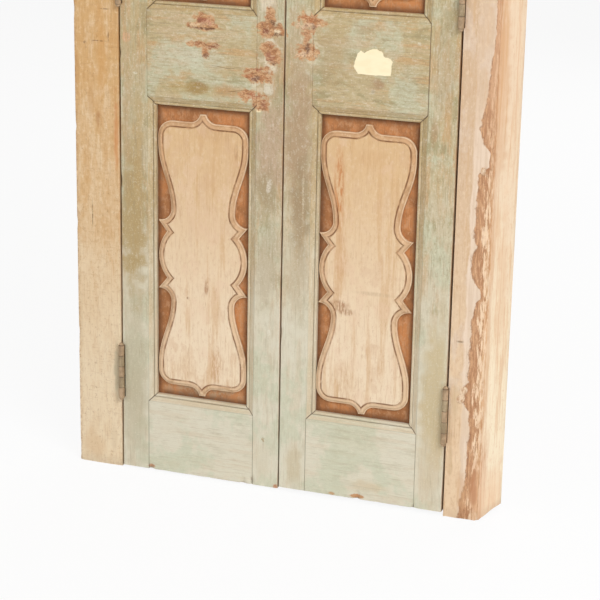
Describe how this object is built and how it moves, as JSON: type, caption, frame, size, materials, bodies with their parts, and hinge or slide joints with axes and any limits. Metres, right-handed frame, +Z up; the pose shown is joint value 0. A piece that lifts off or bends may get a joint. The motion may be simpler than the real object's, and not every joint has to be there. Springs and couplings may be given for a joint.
{
  "type": "antique double door in a frame",
  "caption": "Narrow antique double door in its rebated wooden frame: worn painted panelled leaves with raised cartouches, swinging on butt hinges.",
  "frame": {"origin": "middle of the bounding box at the floor, under the feet of the jambs", "axes": "+Z up, the front with the cartouches and hinge barrels faces -Y, +X to the right seen from the front"},
  "size_m": [0.9232, 0.1045, 2.228],
  "materials": {
    "leaf_paint": "worn grey-green paint, flat and chalky",
    "panel_ground": "rust-brown stain, dry",
    "bare_wood": "scraped bare wood, matt",
    "left_jamb_wood": "old tan paint, thin and matt",
    "right_jamb_wood": "flaking pale paint over bare wood",
    "head_wood": "old tan paint, thin and matt",
    "peg_wood": "end grain, dull",
    "hinge_iron": "dull brown old iron"
  },
  "bodies": {
    "frame": {"head": "head_wood", "frame_pegs": "peg_wood", "left_jamb": "left_jamb_wood", "left_jamb_screws": "hinge_iron", "left_lower_jamb_plate": "hinge_iron", "left_lower_hinge_pin": "hinge_iron", "left_middle_jamb_plate": "hinge_iron", "left_middle_hinge_pin": "hinge_iron", "left_upper_jamb_plate": "hinge_iron", "left_upper_hinge_pin": "hinge_iron", "right_jamb": "right_jamb_wood", "right_jamb_screws": "hinge_iron", "right_lower_jamb_plate": "hinge_iron", "right_lower_hinge_pin": "hinge_iron", "right_middle_jamb_plate": "hinge_iron", "right_middle_hinge_pin": "hinge_iron", "right_upper_jamb_plate": "hinge_iron", "right_upper_hinge_pin": "hinge_iron"},
    "left_leaf": {"left_hinge_stile": "leaf_paint", "left_meeting_stile": "leaf_paint", "left_bottom_rail": "leaf_paint", "left_lock_rail": "leaf_paint", "left_top_rail": "leaf_paint", "left_lower_panel": "panel_ground", "left_upper_panel": "panel_ground", "left_lower_cartouche": "bare_wood", "left_upper_cartouche": "bare_wood", "left_leaf_pegs": "peg_wood", "left_leaf_screws": "hinge_iron", "left_lower_leaf_plate": "hinge_iron", "left_middle_leaf_plate": "hinge_iron", "left_upper_leaf_plate": "hinge_iron"},
    "right_leaf": {"right_hinge_stile": "leaf_paint", "right_meeting_stile": "leaf_paint", "right_bottom_rail": "leaf_paint", "right_lock_rail": "leaf_paint", "right_top_rail": "leaf_paint", "right_lower_panel": "panel_ground", "right_upper_panel": "panel_ground", "right_lower_cartouche": "bare_wood", "right_upper_cartouche": "bare_wood", "right_leaf_pegs": "peg_wood", "right_leaf_screws": "hinge_iron", "right_lower_leaf_plate": "hinge_iron", "right_middle_leaf_plate": "hinge_iron", "right_upper_leaf_plate": "hinge_iron"}
  },
  "joints": [
    {"name": "left_leaf_swing", "type": "hinge", "parent": "frame", "child": "left_leaf", "pos_m": [-0.3583, -0.04625, 1.064], "axis": [0, 0, -1], "range_deg": [0, 175]},
    {"name": "right_leaf_swing", "type": "hinge", "parent": "frame", "child": "right_leaf", "pos_m": [0.3583, -0.04625, 1.064], "axis": [0, 0, 1], "range_deg": [0, 175]}
  ]
}
